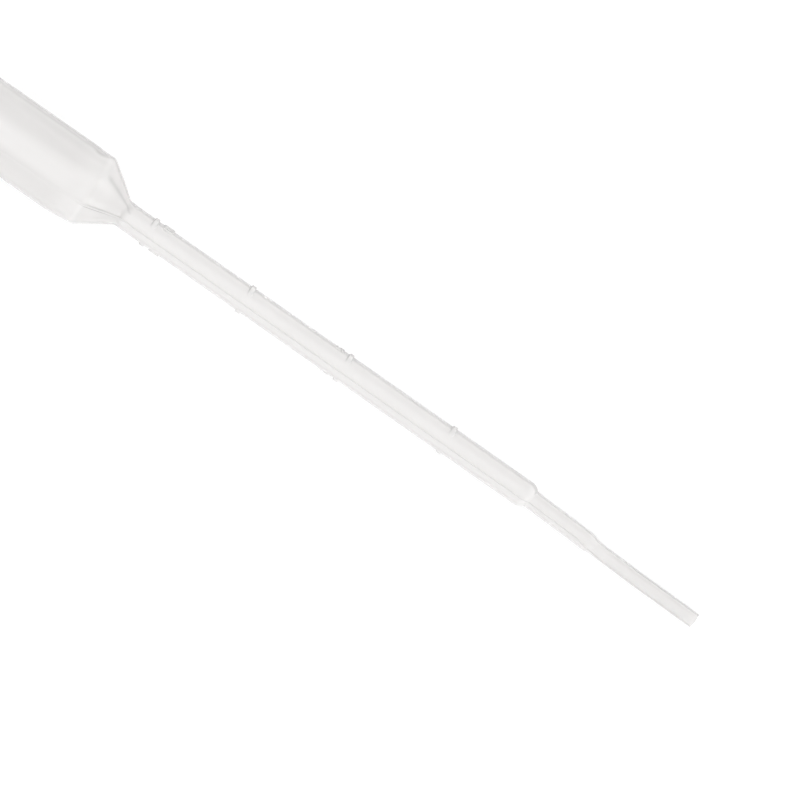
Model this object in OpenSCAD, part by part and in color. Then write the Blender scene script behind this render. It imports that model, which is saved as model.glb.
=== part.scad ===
// Graduated dropper pipette, blown in one piece from soft translucent polyethylene.
// A hollow squeeze bulb narrows through a cone into a straight stem, which steps
// down to a slender open tip. One wall runs all the way, closed at the bulb's crown.
// It lies on its side on z = 0, touching at the bulb and at the end of the tip,
// with the tip towards +X and the bulb towards -X.

/* [Bulb] */
// Overall length, from the crown of the bulb to the end of the tip
overall_l = 155; // [150:0.5:165]
// Outside diameter of the bulb
bulb_d = 13.5; // [12.6:0.1:15]
// Outside diameter where the bulb's shoulder ends, a little less than the bulb
shoulder_d = 13.0; // [12:0.1:13.4]
// Length over which the bulb swells from its shoulder to its full diameter
swell_l = 4.2; // [3:0.1:8]
// Radius of the shoulder between the cone and the bulb
shoulder_r = 2.2; // [1:0.1:3]
// Half angle of the cone between the stem and the bulb, in degrees
cone_angle = 35; // [28:1:45]
// Radius of the knuckle round the crown
knuckle_r = 4.5; // [3:0.1:5.5]
// Radius of the crown's shallow dome
crown_r = 12; // [9:0.5:20]

/* [Stem] */
// Outside diameter of the stem
stem_d = 4.75; // [4.5:0.05:5.2]
// Distance from the end of the tip to the stem's full width
stem_z = 35; // [32:0.5:38]
// Distance from the end of the tip to the neck, where the cone begins
neck_z = 115; // [112:0.5:118]
// Radius of the hollow fillet at the neck
neck_r = 1.0; // [0.4:0.1:2]

/* [Tip] */
// Outside diameter of the fine tip
tip_d = 2.7; // [2.4:0.05:2.9]
// Length of the fine tip
tip_l = 20; // [16:0.5:23]
// Length of the taper above the fine tip
taper_l = 2.3; // [1.5:0.1:4]
// Outside diameter of the upper tip, between the taper and the stem
upper_tip_d = 3.35; // [3.1:0.05:3.6]
// Length of the rounded end of the stem
step_l = 1.7; // [1.2:0.1:2.5]
// Sideways bend of the tip at the stem's end, in degrees
bend_side = 1.8; // [0:0.05:3]
// Upward bend of the tip at the stem's end, in degrees
bend_up = 0.5; // [0:0.05:0.9]

/* [Wall] */
// Wall thickness of the bulb, the cone and the neck
wall = 0.38; // [0.25:0.01:0.5]
// Sideways lean of the cavity, in degrees: it leaves the bulb's wall thicker on the far side
core_side = 0.04; // [0:0.005:0.08]
// Upward lean of the cavity, in degrees: it leaves the bulb's wall thicker underneath
core_up = 0.02; // [0:0.005:0.05]
// Diameter of the stem's bore at its tip end
stem_bore_d = 3.9; // [3.6:0.05:4.1]
// Diameter of the upper tip's bore
upper_bore_d = 2.3; // [2:0.05:2.5]
// Diameter of the fine tip's bore
tip_bore_d = 1.7; // [1.4:0.05:1.9]

/* [Marks] */
// Distance of the first raised graduation mark from the end of the tip
mark_z1 = 50.5; // [46:0.1:55]
// Distance of the second mark from the end of the tip
mark_z2 = 71.2; // [66:0.1:76]
// Distance of the third mark from the end of the tip
mark_z3 = 90.7; // [86:0.1:95]
// Distance of the fourth mark from the end of the tip
mark_z4 = 109.9; // [106:0.1:111]
// Width of a graduation mark
mark_w = 0.95; // [0.6:0.05:1.4]
// Height of a graduation mark at its middle
mark_h = 0.38; // [0.2:0.01:0.5]
// Half of the angle that a graduation mark spans round the stem
mark_span = 44; // [30:1:50]
// Height of the large numeral
numeral_h = 1.75; // [1.2:0.05:2]
// Height of the small numeral
small_numeral_h = 1.3; // [1:0.05:1.6]
// How far the numerals stand out of the stem
numeral_relief = 0.2; // [0.1:0.02:0.3]
// Width of the numerals' strokes
stroke_w = 0.26; // [0.18:0.02:0.34]

/* [Parting line] */
// Angle of the stem's upper parting line from straight up, in degrees
seam_angle = 23; // [0:1:40]
// Angle of the bulb's and the cone's upper parting line from straight up, in degrees
bulb_seam_angle = 26; // [0:1:40]
// Angle of the lower parting line from straight down, in degrees
under_seam_angle = 30; // [0:1:40]
// Width of the parting ridge
seam_w = 0.28; // [0.16:0.02:0.5]
// Height of the parting ridge
seam_h = 0.06; // [0.04:0.01:0.12]
// Height of the parting ridge on the cone
cone_seam_h = 0.15; // [0.06:0.01:0.25]

/* [Hidden] */
$fn = 96;

stem_r = stem_d / 2;
bulb_r = bulb_d / 2;
sh_r = shoulder_d / 2;
upper_r = upper_tip_d / 2;
tip_r = tip_d / 2;
hinge_z = stem_z - 1; // the tip bends about this point of the stem's axis
core_z = 0.65 * neck_z; // the cavity leans about this point of the stem's axis

// Profile points are [radius, distance from the end of the tip].

function ease(t) = (1 - cos(180 * t)) / 2;

// A smooth S-shaped run from one radius to another
function s_run(z0, r0, z1, r1, n = 8) =
    [for (i = [0 : n]) [r0 + (r1 - r0) * ease(i / n), z0 + (z1 - z0) * i / n]];

// A circular arc round the point c
function arc(c, r, a0, a1, n = 8) =
    [for (i = [0 : n]) let (a = a0 + (a1 - a0) * i / n) [c[0] + r * cos(a), c[1] + r * sin(a)]];

// A quarter of an ellipse that starts square to the axis and ends along it
function round_end(z0, r0, z1, r1, n = 8) =
    [for (i = [0 : n]) [r0 + (r1 - r0) * sin(90 * i / n), z0 + (z1 - z0) * (1 - cos(90 * i / n))]];

// Where the shoulder meets the bulb: the cone runs straight between its two rounded ends
shoulder_z = neck_z + neck_r * sin(cone_angle)
    + (sh_r - stem_r - (shoulder_r + neck_r) * (1 - cos(cone_angle))) / tan(cone_angle)
    + shoulder_r * sin(cone_angle);

// The knuckle is tangent to the bulb's side and to the crown's dome
knuckle_x = bulb_r - knuckle_r;
crown_z = overall_l - crown_r;
knuckle_z = crown_z + sqrt(pow(crown_r - knuckle_r, 2) - pow(knuckle_x, 2));
knuckle_a = atan2(knuckle_z - crown_z, knuckle_x);

// The same curves, set in by g, give the outside (g = 0), the cavity and the parting ridge
function cone_curve(g) = concat(
    arc([stem_r + neck_r, neck_z], neck_r + g, 180, 180 - cone_angle, 5),
    arc([sh_r - shoulder_r, shoulder_z], shoulder_r - g, -cone_angle, 0, 7));
function bulb_curve(g) = concat(
    s_run(shoulder_z + 0.02, sh_r - g, shoulder_z + swell_l, bulb_r - g, 6),
    arc([knuckle_x, knuckle_z], knuckle_r - g, 0, knuckle_a, 9),
    arc([0, crown_z], crown_r - g, knuckle_a + 2, 90, 4));

// Pose: the floor line runs through the lowest point of the tip's end and touches the bulb
tip_low = [hinge_z * sin(bend_up) - tip_r, tip_r * sin(bend_up)];
lean = atan(max([for (p = bulb_curve(0)) (p[0] + tip_low[0]) / (p[1] - tip_low[1])]));
lift = -(tip_low[0] * cos(lean) + tip_low[1] * sin(lean));
x_tip = (hinge_z * sin(bend_up) + tip_r) * sin(lean) - (hinge_z * (1 - cos(bend_side)) - tip_r * sin(bend_up)) * cos(lean);
x_crown = -(crown_z * cos(lean) + crown_r);
slide = -(x_tip + x_crown) / 2;

// Solid bounded by a profile curve and the axis
module turned(curve) {
    rotate_extrude() polygon(concat([[0, curve[0][1]]], curve, [[0, curve[len(curve) - 1][1]]]));
}

// Carries the tip's pieces to the bent axis
module bent() {
    translate([0, 0, hinge_z]) rotate([-bend_side, -bend_up, 0]) translate([0, 0, -hinge_z]) children();
}

// Stem, cone and bulb, solid
module upper_outside() {
    turned(concat(round_end(stem_z - step_l, 0.5 * stem_r, stem_z, stem_r), cone_curve(0), bulb_curve(0)));
}

// Fine tip, taper and upper tip, solid and straight
module tip_outside() {
    turned(concat([[tip_r, 0]], s_run(tip_l, tip_r, tip_l + taper_l, upper_r), [[upper_r, stem_z + 0.6]]));
}

// The cavity of the stem, cone and bulb, which leaves the bulb's wall a little thicker on the side that it lies on
module upper_cavity() {
    translate([0, 0, core_z]) rotate([-core_side, core_up, 0]) translate([0, 0, -core_z])
        turned(concat(round_end(stem_z - 0.5, 0.4 * stem_bore_d / 2, stem_z + 1.1, stem_bore_d / 2, 6), cone_curve(wall), bulb_curve(wall)));
}

// The bore of the tip
module tip_bore() {
    turned(concat([[tip_bore_d / 2, -1]], s_run(tip_l + 0.3, tip_bore_d / 2, tip_l + taper_l + 0.3, upper_bore_d / 2), [[upper_bore_d / 2, stem_z + 1.6]]));
}

// The thin flat-topped ridges where the two mould halves met, standing out to the curve
module ridge(curve, angle, w) {
    rotate([0, 0, angle]) rotate([90, 0, 0])
        linear_extrude(height = w, center = true)
        polygon(concat([[0, curve[0][1]]], curve, [[0, curve[len(curve) - 1][1]]]));
}
module seam(curve, angle, w) {
    ridge(curve, -angle, w);
    ridge(curve, 180 - under_seam_angle, w);
}

module seams() {
    seam([[stem_r + seam_h, stem_z + 0.4], [stem_r + seam_h, neck_z + 0.2]], seam_angle, seam_w);
    bulb = bulb_curve(-seam_h);
    seam(concat([[stem_r + seam_h, neck_z - 0.35]], cone_curve(-cone_seam_h), [for (i = [1 : len(bulb) - 1]) bulb[i]]),
        bulb_seam_angle, seam_w * 1.1);
}

module tip_seams() {
    seam([[tip_r + seam_h, 0.3], [tip_r + seam_h, tip_l - 0.3]], seam_angle, seam_w * 0.65);
    seam([[upper_r + seam_h, tip_l + taper_l + 0.3], [upper_r + seam_h, stem_z - 0.4]], seam_angle, seam_w * 0.8);
}

// The marks sit at the middle of each mould half
half_angle = 90 - (seam_angle + under_seam_angle) / 2;

// A graduation mark: a thin disc set off to one side, so that a crescent of it stands out
mark_off = (pow(stem_r + mark_h, 2) - pow(stem_r, 2)) / (2 * (stem_r + mark_h - stem_r * cos(mark_span)));
mark_r = stem_r + mark_h - mark_off;
module mark(z) {
    b = mark_w * 0.3;
    translate([mark_off, 0, z]) rotate_extrude() polygon(concat(
        [[0, -mark_w / 2]],
        arc([mark_r - b, b - mark_w / 2], b, -90, 0, 4),
        arc([mark_r - b, mark_w / 2 - b], b, 0, 90, 4),
        [[0, mark_w / 2]]));
}

// One straight stroke between two points, squared off half a stroke beyond each
module stroke(p, q) {
    v = q - p;
    translate(p) rotate(atan2(v[1], v[0])) translate([-stroke_w / 2, -stroke_w / 2]) square([norm(v) + stroke_w, stroke_w]);
}

// A numeral drawn as joined strokes in a cell 1 high and 0.5 wide, scaled by h
module path(pts, h, x) {
    for (i = [0 : len(pts) - 2]) stroke([x + pts[i][0] * h, pts[i][1] * h], [x + pts[i + 1][0] * h, pts[i + 1][1] * h]);
}
ZERO = [[0.1, 0.12], [0.1, 0.88], [0.2, 1], [0.4, 1], [0.5, 0.88], [0.5, 0.12], [0.4, 0], [0.2, 0], [0.1, 0.12]];
ONE = [[0.02, 0.8], [0.2, 1], [0.2, 0]];
FIVE = [[0.5, 1], [0.1, 1], [0.1, 0.56], [0.36, 0.6], [0.5, 0.46], [0.5, 0.14], [0.36, 0], [0.06, 0.06]];

module one_point_nought(h) {
    translate([-0.52 * h, -h / 2]) {
        path(ONE, h, 0);
        translate([0.38 * h, -stroke_w / 2]) square(stroke_w * 1.1);
        path(ZERO, h, 0.5 * h);
    }
}
module point_five(h) {
    translate([-0.4 * h, -h / 2]) {
        translate([0, -stroke_w / 2]) square(stroke_w * 1.1);
        path(FIVE, h, 0.26 * h);
    }
}

// Wraps a flat numeral on to the stem at the middle of one mould half, upright with the bulb at the top
module on_stem(z) {
    intersection() {
        translate([stem_r - 0.8, 0, z]) rotate([90, 0, 90]) linear_extrude(height = 1.6) children();
        translate([0, 0, z - 1.6]) cylinder(r = stem_r + numeral_relief, h = 3.2);
    }
}

// All the marks of one mould half, on its +X side before it is turned into place
module half_marks() {
    for (z = [mark_z1, mark_z2, mark_z3, mark_z4]) mark(z);
    on_stem(mark_z4 - 2.4) one_point_nought(numeral_h);
    on_stem(mark_z2 + 2.15) point_five(small_numeral_h);
}

module pipette() {
    color([0.93, 0.93, 0.92, 0.75])
    translate([slide, 0, lift])
    rotate([0, lean - 90, 0])
    difference() {
        union() {
            upper_outside();
            bent() {
                tip_outside();
                tip_seams();
            }
            seams();
            rotate([0, 0, half_angle]) half_marks();
            rotate([0, 0, half_angle - 180]) half_marks();
        }
        union() {
            upper_cavity();
            bent() tip_bore();
        }
    }
}

pipette();
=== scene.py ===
import math

import bpy
import numpy as np
from mathutils import Matrix, Vector


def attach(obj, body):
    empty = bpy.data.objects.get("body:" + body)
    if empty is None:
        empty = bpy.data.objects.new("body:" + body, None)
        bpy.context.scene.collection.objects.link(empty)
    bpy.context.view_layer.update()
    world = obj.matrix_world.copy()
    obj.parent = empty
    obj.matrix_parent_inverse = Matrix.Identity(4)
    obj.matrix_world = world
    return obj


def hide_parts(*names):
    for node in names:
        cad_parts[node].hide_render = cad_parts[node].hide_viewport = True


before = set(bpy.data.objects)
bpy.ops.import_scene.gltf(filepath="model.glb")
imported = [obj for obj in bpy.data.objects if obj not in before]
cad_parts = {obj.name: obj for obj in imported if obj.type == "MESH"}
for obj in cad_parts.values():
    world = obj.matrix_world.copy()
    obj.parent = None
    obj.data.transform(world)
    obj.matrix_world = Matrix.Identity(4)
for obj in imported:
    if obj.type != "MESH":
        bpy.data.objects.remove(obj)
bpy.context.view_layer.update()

MM = 0.001
rad, deg = math.radians, math.degrees

# ---------------------------------------------------------------- sizes, as in the CAD (mm)
OVERALL_L = 155.0
BULB_R, SHOULDER_D2, SWELL_L = 6.75, 6.5, 4.2
SHOULDER_R, CONE_A = 2.2, rad(35)
KNUCKLE_R, CROWN_R = 4.5, 12.0
STEM_R, STEM_Z, NECK_Z, NECK_R = 2.375, 35.0, 115.0, 1.0
TIP_R, TIP_L, TAPER_L, UPPER_R, STEP_L = 1.35, 20.0, 2.3, 1.675, 1.7
BEND_SIDE, BEND_UP = rad(1.8), rad(0.5)
WALL, STEM_BORE_R, UPPER_BORE_R, TIP_BORE_R = 0.38, 1.95, 1.15, 0.85
MARKS = (50.5, 71.2, 90.7, 109.9)
MARK_W, MARK_H, MARK_SPAN = 0.95, 0.38, rad(44)
NUMERAL_H, SMALL_NUMERAL_H, RELIEF, STROKE_W = 1.75, 1.3, 0.2, 0.26
SEAM_A, BULB_SEAM_A, UNDER_SEAM_A = rad(23), rad(26), rad(30)
SEAM_W, SEAM_H, CONE_SEAM_H = 0.28, 0.06, 0.15
HINGE_Z = STEM_Z - 1.0

sin, cos, tan = math.sin, math.cos, math.tan
SHOULDER_Z = NECK_Z + NECK_R * sin(CONE_A) + (SHOULDER_D2 - STEM_R - (SHOULDER_R + NECK_R) * (1 - cos(CONE_A))) / tan(CONE_A) + SHOULDER_R * sin(CONE_A)
KNUCKLE_X, CROWN_Z = BULB_R - KNUCKLE_R, OVERALL_L - CROWN_R
KNUCKLE_Z = CROWN_Z + math.sqrt((CROWN_R - KNUCKLE_R) ** 2 - KNUCKLE_X ** 2)
KNUCKLE_A = math.atan2(KNUCKLE_Z - CROWN_Z, KNUCKLE_X)


def smooth(t):
    t = np.clip(t, 0.0, 1.0)
    return t * t * (3 - 2 * t)


def s_run(z0, r0, z1, r1, n):
    t = np.linspace(0, 1, n + 1)
    return [(r0 + (r1 - r0) * (1 - math.cos(math.pi * a)) / 2, z0 + (z1 - z0) * a) for a in t]


def arc(c, r, a0, a1, n):
    return [(c[0] + r * math.cos(a), c[1] + r * math.sin(a)) for a in np.linspace(a0, a1, n + 1)]


# the pose in which it lies: the tip's end and the bulb both on the floor
def _cad_bulb_curve():
    return (s_run(SHOULDER_Z + 0.02, SHOULDER_D2, SHOULDER_Z + SWELL_L, BULB_R, 6)
            + arc((KNUCKLE_X, KNUCKLE_Z), KNUCKLE_R, 0, KNUCKLE_A, 9))


_low = (HINGE_Z * sin(BEND_UP) - TIP_R, TIP_R * sin(BEND_UP))
LEAN = math.atan(max((p[0] + _low[0]) / (p[1] - _low[1]) for p in _cad_bulb_curve()))
LIFT = -(_low[0] * cos(LEAN) + _low[1] * sin(LEAN))
_xt = (HINGE_Z * sin(BEND_UP) + TIP_R) * sin(LEAN) - (HINGE_Z * (1 - cos(BEND_SIDE)) - TIP_R * sin(BEND_UP)) * cos(LEAN)
SLIDE = -(_xt - (CROWN_Z * cos(LEAN) + CROWN_R)) / 2


def to_row(p):
    """Own frame (x up, y sideways, z from the tip's end to the bulb, mm) to the row frame (m)."""
    x, y, z = p[..., 0], p[..., 1], p[..., 2]
    return np.stack([x * sin(LEAN) - z * cos(LEAN) + SLIDE, y, x * cos(LEAN) + z * sin(LEAN) + LIFT], -1) * MM


def bend(p):
    """Turns what lies below the stem's end about the hinge, over a short smooth run."""
    x, y, z = p[..., 0], p[..., 1], p[..., 2] - HINGE_Z
    w = smooth((2.2 - z) / 4.4)
    a, b = -BEND_SIDE * w, -BEND_UP * w
    y, z = y * np.cos(a) - z * np.sin(a), y * np.sin(a) + z * np.cos(a)
    x, z = x * np.cos(b) + z * np.sin(b), -x * np.sin(b) + z * np.cos(b)
    return np.stack([x, y, z + HINGE_Z], -1)


# ---------------------------------------------------------------- small fixed undulations of a blown wall
_rng = np.random.default_rng(11)
_waves = [(_rng.integers(1, 5), _rng.uniform(0.03, 0.22), _rng.uniform(0, 6.28), _rng.uniform(0, 6.28), _rng.uniform(0.5, 1.0)) for _ in range(14)]


def undulation(theta, z, seed=0):
    """Between -1 and 1, smooth, different on the inside and the outside."""
    v = 0.0
    for i, (m, k, a, b, s) in enumerate(_waves):
        v = v + s * np.sin(m * theta + a + seed * 1.7 * (i + 1)) * np.sin(k * z + b + seed * 2.3 * (i + 1))
    return v / 5.0


# ---------------------------------------------------------------- raised features of the outside
MARK_OFF = ((STEM_R + MARK_H) ** 2 - STEM_R ** 2) / (2 * (STEM_R + MARK_H - STEM_R * cos(MARK_SPAN)))
MARK_DISC_R = STEM_R + MARK_H - MARK_OFF
HALF_ANGLES = (-(math.pi / 2 - (SEAM_A + UNDER_SEAM_A) / 2), math.pi / 2 + (SEAM_A + UNDER_SEAM_A) / 2)

ZERO = [(0.1, 0.12), (0.1, 0.88), (0.2, 1), (0.4, 1), (0.5, 0.88), (0.5, 0.12), (0.4, 0), (0.2, 0), (0.1, 0.12)]
ONE = [(0.02, 0.8), (0.2, 1), (0.2, 0)]
FIVE = [(0.5, 1), (0.1, 1), (0.1, 0.56), (0.36, 0.6), (0.5, 0.46), (0.5, 0.14), (0.36, 0), (0.06, 0.06)]


def _segments(h, parts, shift):
    out = []
    for pts, dx in parts:
        q = [((dx + a) * h + shift * h, b * h - h / 2) for a, b in pts]
        out += list(zip(q[:-1], q[1:]))
    return out


_one = _segments(NUMERAL_H, [(ONE, 0.0), (ZERO, 0.5)], -0.52)
_d = (0.38 * NUMERAL_H - 0.52 * NUMERAL_H + STROKE_W * 0.55, -NUMERAL_H / 2 + STROKE_W * 0.05)
_one.append((_d, (_d[0] + 1e-4, _d[1])))
_half = _segments(SMALL_NUMERAL_H, [(FIVE, 0.26)], -0.4)
_d = (-0.4 * SMALL_NUMERAL_H + STROKE_W * 0.55, -SMALL_NUMERAL_H / 2 + STROKE_W * 0.05)
_half.append((_d, (_d[0] + 1e-4, _d[1])))
NUMERALS = ((MARKS[3] - 2.4, _one, NUMERAL_H), (MARKS[1] + 2.15, _half, SMALL_NUMERAL_H))


def _stroke_height(x, y, segs):
    best = np.full(x.shape, 9.0)
    for (ax, ay), (bx, by) in segs:
        dx, dy = bx - ax, by - ay
        t = np.clip(((x - ax) * dx + (y - ay) * dy) / (dx * dx + dy * dy), 0, 1)
        best = np.minimum(best, np.hypot(x - ax - t * dx, y - ay - t * dy))
    return smooth((STROKE_W / 2 + 0.06 - best) / 0.12)


def wrap(a):
    return (a + math.pi) % (2 * math.pi) - math.pi


def twist(z):
    """The drawn tip is turned a little about its axis, so its parting lines lie further round."""
    return rad(33) * smooth((24.5 - z) / 6.0)


def near_seam(z):
    """Angle of the upper parting line, towards -Y."""
    return SEAM_A + (BULB_SEAM_A - SEAM_A) * smooth((z - 113.4) / 3.0) + twist(z)


def under_seam(z):
    """Angle of the parting line's twin, on the far side; a little further round on the cone."""
    return math.pi + UNDER_SEAM_A + rad(5) * smooth((z - 114.0) / 3.0) + twist(z)


def seam_size(z):
    """Height and half width of the parting lines: low on the tube, flat-topped flash on the cone and shoulder, nearly gone on the bulb."""
    on_cone = smooth((z - 113.8) / 1.4) * smooth((123.0 - z) / 3.0)
    low = 1.4 * SEAM_H * (1 - 0.8 * smooth((z - 119.0) / 4.0))
    return low + (CONE_SEAM_H - low) * on_cone, SEAM_W / 2 * (1 + 0.6 * smooth((z - 114) / 4)), on_cone


def relief(theta, z, r):
    """How far the outside stands out at each point: parting ridges, marks and numerals."""
    out = np.zeros(theta.shape)
    ridge, half, on_cone = seam_size(z)
    ridge = ridge * smooth((z - 0.1) / 0.4)
    for centre in (near_seam(z), under_seam(z)):
        s = np.abs(wrap(theta - centre) * np.maximum(r, 0.5)) / half
        sharp, flat = np.clip(1 - s * s, 0, 1) ** 1.3, smooth((1.15 - s) / 0.42)
        out = np.maximum(out, ridge * (sharp + (flat - sharp) * on_cone))
    # graduation marks: crescents of a disc with a rounded rim
    b = MARK_W * 0.3
    for zm in MARKS:
        rows = np.abs(z - zm) < MARK_W / 2 + 0.1
        if not rows.any():
            continue
        u = np.clip(np.abs(z - zm) - (MARK_W / 2 - b), 0, None)
        rim = np.where(u < b, MARK_DISC_R - b + np.sqrt(np.clip(b * b - u * u, 0, None)), 0.0)
        for ha in HALF_ANGLES:
            d = wrap(theta - ha)
            under = rim ** 2 - (MARK_OFF * np.sin(d)) ** 2
            h = np.where((under > 0) & (np.abs(d) < 1.2), MARK_OFF * np.cos(d) + np.sqrt(np.clip(under, 0, None)) - STEM_R, -1)
            e = 0.035
            h = 0.5 * (h + np.sqrt(h * h + e * e)) - e * 0.1
            out = np.maximum(out, np.where(rows & (np.abs(d) < 1.2), np.clip(h, 0, None), 0))
    # numerals
    for zc, segs, h in NUMERALS:
        rows = np.abs(z - zc) < h / 2 + 0.35
        if not rows.any():
            continue
        for ha in HALF_ANGLES:
            d = wrap(theta - ha)
            x = -STEM_R * np.sin(d)
            k = rows & (np.abs(d) < 0.6)
            if k.any():
                v = np.zeros(theta.shape)
                v[k] = RELIEF * _stroke_height(x[k], (z - zc)[k], segs)
                out = np.maximum(out, v)
    return out


def painted_shade_mask(theta, z, r, h):
    """Painted shade: 0 on plain wall to 1 on the steep sides of what stands out, where light is turned away and lost,
    and along the parting lines; it darkens the base colour.
    """
    dz = np.gradient(h, axis=0) / np.where(np.abs(np.gradient(z, axis=0)) > 1e-3, np.gradient(z, axis=0), 1e3)
    ds = (np.roll(h, -1, 1) - np.roll(h, 1, 1)) / (wrap(np.roll(theta, -1, 1) - np.roll(theta, 1, 1)) * np.maximum(r, 0.5))
    top = h
    for k in range(1, 8):
        top = np.maximum(top, np.maximum(np.roll(h, k, 0), np.roll(h, -k, 0)))
    steep = smooth(np.hypot(dz, ds) / 0.55) * smooth((top - 0.04) / 0.16)
    # the lines on the tube and the cone get painted shade of their own: thin darker lines, one flank of the near ridge
    # darker than the other on the cone
    ridge, half, on_cone = seam_size(z)
    line = np.zeros(theta.shape)
    for centre, far in ((near_seam(z), 0), (under_seam(z), 1)):
        side = wrap(theta - centre) * np.maximum(r, 0.5)
        s = np.abs(side)
        one = np.exp(-(s / (0.11 + 0.27 * far)) ** 2)
        two = np.exp(-((s - half) / (0.09 + 0.13 * far)) ** 2) * (1 if far else 1.05 + 0.45 * np.sign(side))
        amount = 1.0 if far else 0.33 + 0.3 * smooth((z - 115.0) / 2.5) * smooth((123.0 - z) / 3.0) + 0.45 * smooth((z - 117.0) / 1.5) * smooth((121.3 - z) / 0.8) + 0.35 * smooth((22.0 - z) / 3.0)
        line = np.maximum(line, amount * (one + (two - one) * on_cone) * (1 - 0.9 * smooth((z - 120.2) / 2.5)))
    return np.maximum(0.3 * steep, line)


def painted_weld_shade(theta, z, r):
    """The same painted shade on the inside: a dark line painted along the under parting line, where the wall closed on
    itself.
    """
    s = np.abs(wrap(theta - under_seam(z)) * np.maximum(r, 0.5))
    on_cone = smooth((z - 114) / 3)
    return (0.3 + 0.7 * on_cone) * np.exp(-(s / (0.22 + 0.28 * on_cone)) ** 2) * (1 - smooth((z - 120.5) / 3.0))


def across(theta, z, r):
    """How far to the side a point of the wall is: -1 at +Y, 1 at -Y, and 0 in the middle of the crown."""
    return np.sin(theta) * np.where(z > 140, np.clip(r / 6.3, 0, 1), 1)


def clearness(side):
    """How much clearer the wall gets where it is seen aslant: the half shell on the +Y side is the clearer one."""
    return 0.25 + 0.75 * smooth(0.5 - 0.9 * side)


def aslant_from(z):
    """How far aslant that begins: early on the narrow tube, later on the bulb, last on the cone."""
    return 0.19 * smooth((z - 122.5) / 3.0) + 0.27 * smooth((z - 114.2) / 1.5) * smooth((124.5 - z) / 3.0)


def sheer(side, z):
    """The wall is more see-through on the cone, most of all next to the tube, on the bulb's sides and at the tip."""
    cone = smooth((z - 114.2 + 0.5 * smooth(0.2 - 1.2 * side)) / 1.5) * (0.56 * smooth((121.8 - z) / 1.2) + 0.24 * smooth((119.5 - z) / 2.5))
    sides = 0.4 * smooth((z - 121.5) / 6.0) * smooth((np.abs(side - 0.1) - 0.12) / 0.36)
    sides = sides + 0.4 * smooth((z - 121.0) / 1.5) * smooth((-side - 0.6) / 0.18)
    strip = side + 0.25 + 0.32 * smooth((z - 114.2) / 1.3)  # where the far parting line shows through
    cone = cone + 0.5 * np.exp(-((strip / 0.075) ** 2)) * smooth((z - 113.8) / 0.6) * smooth((120.7 - z) / 0.9)
    return cone + sides + 0.12 * smooth((33.9 - z) / 0.8) + 0.25 * smooth((18.5 - z) / 5.0)


# ---------------------------------------------------------------- profiles (radius, z), both from the tip's end to the crown
def spread(a, b, step):
    n = max(1, int(round((b - a) / step)))
    return list(np.linspace(a, b, n + 1)[:-1])


def stem_rows():
    """Distances along the plain stem, close together only where something stands out."""
    stops = [(m - 0.62, m + 0.62, 0.066) for m in MARKS] + [(c - h / 2 - 0.22, c + h / 2 + 0.22, 0.07) for c, _, h in NUMERALS]
    stops.sort()
    z, out = STEM_Z + 0.5, []
    for a, b, step in stops:
        if a > z:
            out += spread(z, a, 1.6)
            z = a
        out += spread(z, b, step)
        z = b
    return out + spread(z, NECK_Z - 1.6, 0.8) + spread(NECK_Z - 1.6, NECK_Z, 0.27)


def ellipse_r(z, z0, r0, z1, r1):
    t = np.clip((z - z0) / (z1 - z0), 0, 1)
    return r0 + (r1 - r0) * np.sqrt(1 - (1 - t) ** 2)


def soft_max(a, b, k):
    return (a + b + np.sqrt((a - b) ** 2 + k * k)) / 2


def outer_profile():
    pts = [(TIP_R - 0.07, 0.0), (TIP_R - 0.035, 0.009), (TIP_R - 0.012, 0.03), (TIP_R, 0.07)]
    pts += [(TIP_R, z) for z in spread(0.25, TIP_L - 0.1, 0.9)]
    pts += s_run(TIP_L, TIP_R, TIP_L + TAPER_L, UPPER_R, 16)
    pts += [(UPPER_R, z) for z in spread(TIP_L + TAPER_L + 0.3, 32.6, 0.9)]
    for z in list(np.linspace(32.6, 33.2, 5)[:-1]) + list(np.linspace(33.2, 33.9, 15)[:-1]) + list(np.linspace(33.9, 35.5, 14)[:-1]):
        e = ellipse_r(z, STEM_Z - STEP_L + 0.25, 0.5 * STEM_R, STEM_Z + 0.35, STEM_R)
        pts.append((min(float(soft_max(UPPER_R, e, 0.14)), STEM_R), z))
    pts += [(STEM_R, z) for z in stem_rows()]
    pts += arc((STEM_R + NECK_R, NECK_Z), NECK_R, math.pi, math.pi - CONE_A, 9)
    a, b = pts[-1], (SHOULDER_D2 - SHOULDER_R * (1 - cos(CONE_A)), SHOULDER_Z - SHOULDER_R * sin(CONE_A))
    pts += [(a[0] + (b[0] - a[0]) * t, a[1] + (b[1] - a[1]) * t) for t in np.linspace(0, 1, 13)[1:-1]]
    pts += arc((SHOULDER_D2 - SHOULDER_R, SHOULDER_Z), SHOULDER_R, -CONE_A, 0, 14)
    pts += s_run(SHOULDER_Z + 0.02, SHOULDER_D2, SHOULDER_Z + SWELL_L, BULB_R, 9)[1:]
    pts += [(BULB_R, z) for z in spread(SHOULDER_Z + SWELL_L + 0.9, KNUCKLE_Z, 1.1)]
    pts += arc((KNUCKLE_X, KNUCKLE_Z), KNUCKLE_R, 0, KNUCKLE_A, 20)
    pts += arc((0, CROWN_Z), CROWN_R, KNUCKLE_A, math.pi / 2 - 0.004, 9)[1:]
    return np.array(pts)


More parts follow.
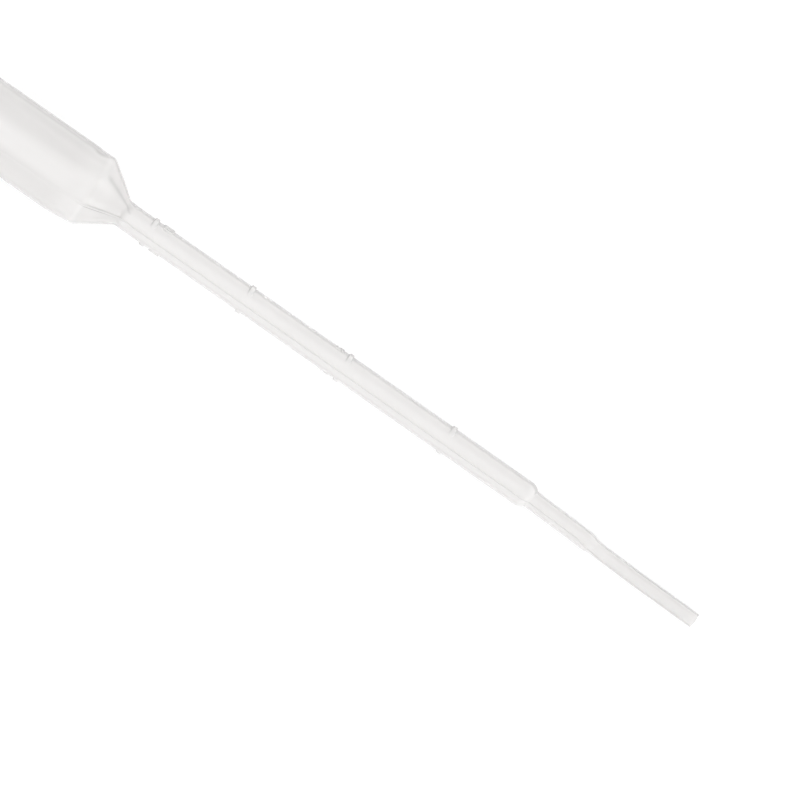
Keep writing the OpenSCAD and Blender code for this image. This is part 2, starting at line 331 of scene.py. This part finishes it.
def inner_profile():
    pts = [(TIP_BORE_R + 0.05, 0.0), (TIP_BORE_R + 0.015, 0.012), (TIP_BORE_R, 0.06)]
    pts += [(TIP_BORE_R, z) for z in spread(0.3, TIP_L + 0.2, 1.5)]
    pts += s_run(TIP_L + 0.3, TIP_BORE_R, TIP_L + TAPER_L + 0.3, UPPER_BORE_R, 12)
    pts += [(UPPER_BORE_R, z) for z in spread(TIP_L + TAPER_L + 0.7, 34.0, 1.25)]
    for z in np.linspace(34.0, 36.6, 22)[:-1]:
        e = ellipse_r(z, STEM_Z - 0.5, 0.4 * STEM_BORE_R, STEM_Z + 1.1, STEM_BORE_R)
        pts.append((float(soft_max(UPPER_BORE_R, e, 0.14)) if z < STEM_Z + 1.1 else STEM_BORE_R, z))
    r1 = STEM_R - WALL
    pts += [(STEM_BORE_R + (r1 - STEM_BORE_R) * (z - 36.6) / (NECK_Z - 36.6), z) for z in spread(36.6, NECK_Z - 1.0, 2.2)]
    pts += arc((STEM_R + NECK_R, NECK_Z), NECK_R + WALL, math.pi, math.pi - CONE_A, 8)
    w = WALL
    a, b = pts[-1], (SHOULDER_D2 - w - (SHOULDER_R - w) * (1 - cos(CONE_A)), SHOULDER_Z - (SHOULDER_R - w) * sin(CONE_A))
    pts += [(a[0] + (b[0] - a[0]) * t, a[1] + (b[1] - a[1]) * t) for t in np.linspace(0, 1, 9)[1:-1]]
    pts += arc((SHOULDER_D2 - SHOULDER_R, SHOULDER_Z), SHOULDER_R - w, -CONE_A, 0, 10)
    pts += s_run(SHOULDER_Z + 0.02, SHOULDER_D2 - w, SHOULDER_Z + SWELL_L, BULB_R - w, 8)[1:]
    pts += [(BULB_R - w, z) for z in spread(SHOULDER_Z + SWELL_L + 0.9, KNUCKLE_Z, 2.0)]
    pts += arc((KNUCKLE_X, KNUCKLE_Z), KNUCKLE_R - w, 0, KNUCKLE_A, 14)
    pts += arc((0, CROWN_Z), CROWN_R - w, KNUCKLE_A, math.pi / 2 - 0.004, 7)[1:]
    return np.array(pts)


def columns():
    """Angles round the axis from the upper parting line, close together at the ridges, marks and numerals."""
    under = deg(math.pi + UNDER_SEAM_A - SEAM_A)
    a, b = deg(HALF_ANGLES[1] - SEAM_A), deg(HALF_ANGLES[0] - SEAM_A) + 360
    stops = [(0, 4, 0.5), (4, 8, 1.0), (8, a - 46, 4.0), (a - 46, a - 27, 2.4), (a - 27, a + 27, 1.6), (a + 27, a + 46, 2.4), (a + 46, under - 8, 4.0),
             (under - 8, under - 4, 1.0), (under - 4, under + 4, 0.5), (under + 4, under + 8, 1.0), (under + 8, b - 46, 4.0), (b - 46, b - 27, 2.4), (b - 27, b + 27, 1.6), (b + 27, b + 46, 2.4), (b + 46, 352, 4.0), (352, 356, 1.0), (356, 360, 0.5)]
    out = []
    for p, q, step in stops:
        out += spread(p, q, step)
    return np.radians(np.array(out))


def offset_y(z):
    """The fine tip bows a little towards -Y, and the cone and shoulder sit a little towards +Y, as blown."""
    return np.interp(z, [1.5, 3.4, 5.4, 7.4, 9.3, 11.3, 19.2, 21.8, 23.5, 113.5, 115.0, 117.5, 121.2, 123.4, 126.5],
                     [0.0, -0.03, -0.06, -0.09, -0.12, -0.155, -0.15, -0.04, 0.0, 0.0, 0.04, 0.19, 0.225, 0.10, 0.0])


def slimmer(z):
    """The tube is a hair slimmer than its nominal size, on the +Y side: most on the tip."""
    return np.interp(z, [0.0, 32.0, 34.0, 110.0, 114.0], [0.055, 0.06, 0.024, 0.024, 0.0])


def surface(profile, phi, outside):
    r = profile[:, 0][:, None] + 0 * phi[None, :]
    z = profile[:, 1][:, None] + 0 * phi[None, :]
    theta = phi[None, :] + near_seam(z)
    d = np.gradient(profile, axis=0)
    n = np.stack([d[:, 1], -d[:, 0]], -1)
    n /= np.linalg.norm(n, axis=1)[:, None]
    body = smooth((z - 117) / 10)
    dark = np.zeros(theta.shape)
    if outside:
        push = relief(theta, z, r)
        # painted shade on the outside: darker steep flanks and darker lines along the parting lines
        dark = painted_shade_mask(theta, z, r, push)
        push = push - 0.012 * (1 + undulation(theta, z)) * (0.35 + 1.9 * body) * smooth((z - 0.5) / 3)
        push = push - slimmer(z)
    else:
        # painted shade on the inside: a dark line along the under parting line
        dark = painted_weld_shade(theta, z, r)
        push = 0.010 * undulation(theta, z, 1) * (0.6 + 2.6 * body) * smooth((z - 0.5) / 3)
    rr = np.clip(r + push * n[:, 0][:, None], 0, None)
    zz = z + push * n[:, 1][:, None]
    # the stem's end is blown a little aslant
    zz = zz + 0.3 * np.sin(theta) * smooth((zz - 31.8) / 1.6) * smooth((37.4 - zz) / 2.2)
    p = np.stack([rr * np.cos(theta), -rr * np.sin(theta) + offset_y(zz) - slimmer(zz), zz], -1)
    side = across(theta, z, r)
    return to_row(bend(p)), dark, clearness(side), aslant_from(z), sheer(side, z)


def make_pipette():
    phi = columns()
    n = len(phi)
    outer, *masks = surface(outer_profile(), phi, True)
    inner, *masks_in = surface(inner_profile(), phi, False)
    no, ni = len(outer), len(inner)
    co = np.concatenate([outer.reshape(-1, 3), inner.reshape(-1, 3), outer[-1].mean(0)[None], inner[-1].mean(0)[None]])
    j = np.arange(n)
    k = (j + 1) % n
    faces = []
    for i in range(no - 1):  # outside, facing out
        faces.append(np.stack([i * n + j, (i + 1) * n + j, (i + 1) * n + k, i * n + k], -1))
    base = no * n
    for i in range(ni - 1):  # inside, facing the cavity
        faces.append(np.stack([base + i * n + j, base + i * n + k, base + (i + 1) * n + k, base + (i + 1) * n + j], -1))
    faces.append(np.stack([j, k, base + k, base + j], -1))  # the tip's cut end
    quads = np.concatenate(faces)
    caps = np.concatenate([np.stack([(no - 1) * n + j, np.full(n, base + ni * n), (no - 1) * n + k], -1),
                           np.stack([base + (ni - 1) * n + j, base + (ni - 1) * n + k, np.full(n, base + ni * n + 1)], -1)])
    me = bpy.data.meshes.new("pipette_blown")
    me.from_pydata(co.tolist(), [], quads.tolist() + caps.tolist())
    me.validate()
    me.polygons.foreach_set("use_smooth", [True] * len(me.polygons))
    for name, a, b in zip(("painted_shade_mask", "clear", "begin", "sheer"), masks, masks_in):
        me.attributes.new(name, "FLOAT", "POINT").data.foreach_set("value", np.concatenate([a.ravel(), b.ravel(), [a[-1].mean(), b[-1].mean()]]).astype(np.float32))
    inside = np.concatenate([np.arange(len(quads)) // n >= no - 1, np.arange(len(caps)) >= n])
    inside[len(quads) - n:len(quads)] = False  # the tip's cut end
    me.polygons.foreach_set("material_index", inside.astype(np.int32))
    me.update()
    ob = bpy.data.objects.new("pipette_blown", me)
    bpy.context.scene.collection.objects.link(ob)
    return ob


pipette = make_pipette()


# ---------------------------------------------------------------- material
def polyethylene(name, through, inside=False):
    """Milky, see-through plastic: satin, hazy, with faint flow marks along the blown wall, and painted shade that
    darkens the base colour on the flanks of what stands out and along the parting lines.
    """
    m = bpy.data.materials.new(name)
    m.use_nodes = True
    t = m.node_tree
    new, link = t.nodes.new, t.links.new
    p = t.nodes["Principled BSDF"]
    p.inputs["IOR"].default_value = 1.51
    p.inputs["Transmission Weight"].default_value = through
    place = new("ShaderNodeTexCoord")
    # flow marks: noise drawn out along the axis
    stretch = new("ShaderNodeMapping")
    stretch.inputs["Scale"].default_value = (90, 420, 420)
    link(place.outputs["Object"], stretch.inputs["Vector"])
    flow = new("ShaderNodeTexNoise")
    flow.name = "flow"
    flow.inputs["Scale"].default_value = 1.0
    flow.inputs["Detail"].default_value = 3.0
    flow.inputs["Roughness"].default_value = 0.55
    link(stretch.outputs["Vector"], flow.inputs["Vector"])
    tone = new("ShaderNodeMix")
    tone.name = "tone"
    tone.data_type = "RGBA"
    tone.inputs["A"].default_value = (0.903, 0.890, 0.883, 1)
    tone.inputs["B"].default_value = (0.923, 0.910, 0.903, 1)
    link(flow.outputs["Fac"], tone.inputs["Factor"])
    # painted shade: where the mask is 1 the base colour goes to dim, near black inside along the under parting line
    painted_shade_mask = new("ShaderNodeAttribute")
    painted_shade_mask.attribute_name = "painted_shade_mask"
    shade = new("ShaderNodeMix")
    shade.name = "shade"
    shade.data_type = "RGBA"
    dim = 0.08 if inside else 0.6
    shade.inputs["B"].default_value = (dim, dim, 0.99 * dim, 1)
    link(painted_shade_mask.outputs["Fac"], shade.inputs["Factor"])
    link(tone.outputs["Result"], shade.inputs["A"])
    link(shade.outputs["Result"], p.inputs["Base Color"])
    # satin with a fine grain
    grain = new("ShaderNodeTexNoise")
    grain.name = "grain"
    grain.inputs["Scale"].default_value = 2600
    grain.inputs["Detail"].default_value = 2.0
    link(place.outputs["Object"], grain.inputs["Vector"])
    rough = new("ShaderNodeMapRange")
    rough.name = "rough"
    rough.inputs["From Min"].default_value = 0.3
    rough.inputs["From Max"].default_value = 0.7
    rough.inputs["To Min"].default_value = 0.10
    rough.inputs["To Max"].default_value = 0.14
    link(flow.outputs["Fac"], rough.inputs["Value"])
    link(rough.outputs["Result"], p.inputs["Roughness"])
    bump = new("ShaderNodeBump")
    bump.name = "bump"
    bump.inputs["Strength"].default_value = 0.25
    bump.inputs["Distance"].default_value = 0.00002
    link(grain.outputs["Fac"], bump.inputs["Height"])
    link(bump.outputs["Normal"], p.inputs["Normal"])
    if not inside:
        # seen aslant, the outer skin is a little clearer
        aslant = new("ShaderNodeLayerWeight")
        aslant.inputs["Blend"].default_value = 0.5
        ease = new("ShaderNodeMapRange")
        ease.name = "ease"
        ease.interpolation_type = "SMOOTHSTEP"
        ease.inputs["From Min"].default_value = 0.27
        ease.inputs["From Max"].default_value = 0.47
        begin = new("ShaderNodeAttribute")
        begin.attribute_name = "begin"
        later = new("ShaderNodeMath")
        later.operation = "SUBTRACT"
        link(aslant.outputs["Facing"], later.inputs[0])
        link(begin.outputs["Fac"], later.inputs[1])
        link(later.outputs["Value"], ease.inputs["Value"])
        where = new("ShaderNodeAttribute")
        where.attribute_name = "clear"
        amount = new("ShaderNodeMath")
        amount.operation = "MULTIPLY"
        link(ease.outputs["Result"], amount.inputs[0])
        link(where.outputs["Fac"], amount.inputs[1])
        thin = new("ShaderNodeAttribute")
        thin.attribute_name = "sheer"
        both = new("ShaderNodeMath")
        both.operation = "ADD"
        link(amount.outputs["Value"], both.inputs[0])
        link(thin.outputs["Fac"], both.inputs[1])
        glassy = new("ShaderNodeMapRange")
        glassy.name = "glassy"
        glassy.inputs["From Max"].default_value = 1.35
        glassy.inputs["To Min"].default_value = through
        glassy.inputs["To Max"].default_value = through + 1.35 * EDGE_CLEARER
        link(both.outputs["Value"], glassy.inputs["Value"])
        link(glassy.outputs["Result"], p.inputs["Transmission Weight"])
    return m


EDGE_CLEARER = 0.22
pipette.data.materials.append(polyethylene("polyethylene_satin", 0.3))
pipette.data.materials.append(polyethylene("polyethylene_inside", 0.55, inside=True))
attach(pipette, "root")
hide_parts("pipette")


# ---------------------------------------------------------------- floor
def floor():
    me = bpy.data.meshes.new("floor")
    s = 3.0
    me.from_pydata([(-s, -s, 0), (s, -s, 0), (s, s, 0), (-s, s, 0)], [], [(0, 1, 2, 3)])
    ob = bpy.data.objects.new("floor", me)
    bpy.context.scene.collection.objects.link(ob)
    m = bpy.data.materials.new("floor_white")
    m.use_nodes = True
    p = m.node_tree.nodes["Principled BSDF"]
    p.inputs["Base Color"].default_value = (0.5, 0.5, 0.5, 1)
    p.inputs["Roughness"].default_value = 0.9
    p.inputs["Specular IOR Level"].default_value = 0.0
    p.inputs["Emission Color"].default_value = (1, 1, 1, 1)
    p.inputs["Emission Strength"].default_value = 0.535
    me.materials.append(m)
    return ob


floor()

# ---------------------------------------------------------------- light: a white tent, brighter in soft patches, most of all low on the -Y side
world = bpy.data.worlds.new("studio")
bpy.context.scene.world = world
world.use_nodes = True
world.node_tree.nodes["Background"].inputs["Color"].default_value = (1, 1, 1, 1)
world.node_tree.nodes["Background"].inputs["Strength"].default_value = 0.642

# each patch: azimuth from +X and elevation in degrees, how many degrees across, strength
PATCHES = ((-90, 52, 22, 0.038),
           (-90, 66, 22, 0.103),
           (-90, 80, 22, 0.076),
           (90, 86, 22, 0.087),
           (90, 72, 22, 0.071),
           (90, 58, 22, 0.070),
           (0, 18, 52, 0.485),
           (45, 18, 52, 0.724),
           (90, 18, 52, 0.064),
           (135, 18, 52, 0.489),
           (-135, 18, 52, 0.343),
           (-90, 18, 52, 0.403),
           (-45, 18, 52, 0.746),
           (30, 55, 52, 0.176),
           (90, 55, 52, 0.054),
           (150, 55, 52, 0.094))
for i, (azimuth, elevation, width, strength) in enumerate(PATCHES):
    light = bpy.data.lights.new("patch_%02d" % i, "SUN")
    light.energy, light.angle = strength, rad(width)
    ob = bpy.data.objects.new("patch_%02d" % i, light)
    ob.rotation_mode = "QUATERNION"
    direction = Vector((cos(rad(azimuth)) * cos(rad(elevation)), sin(rad(azimuth)) * cos(rad(elevation)), sin(rad(elevation))))
    ob.rotation_quaternion = direction.to_track_quat("Z", "Y")
    bpy.context.scene.collection.objects.link(ob)

# ---------------------------------------------------------------- camera
ANGLE = rad(34.96)
PX_PER_MM = 6.1
right = Vector((cos(ANGLE), sin(ANGLE), 0))
up = Vector((-sin(ANGLE), cos(ANGLE), 0))
z_at = 697 / PX_PER_MM
anchor = to_row(np.array([0.0, 0.0, z_at])) / MM
centre = Vector((anchor[0], anchor[1], 0)) + right * ((400 - 128.634) / PX_PER_MM) - up * ((400 - 217.176) / PX_PER_MM)
DIST = 800.0
cam_data = bpy.data.cameras.new("camera")
cam_data.sensor_width = 36.0
cam_data.lens = 36.0 * DIST / (800 / PX_PER_MM)
cam_data.clip_start, cam_data.clip_end = 0.01, 10
cam = bpy.data.objects.new("camera", cam_data)
cam.location = Vector((centre.x, centre.y, DIST + 4.0)) * MM
cam.rotation_mode = "QUATERNION"
cam.rotation_quaternion = Matrix((right, up, Vector((0, 0, 1)))).transposed().to_quaternion()
bpy.context.scene.collection.objects.link(cam)
bpy.context.scene.camera = cam

bpy.context.scene.view_settings.view_transform = "Standard"
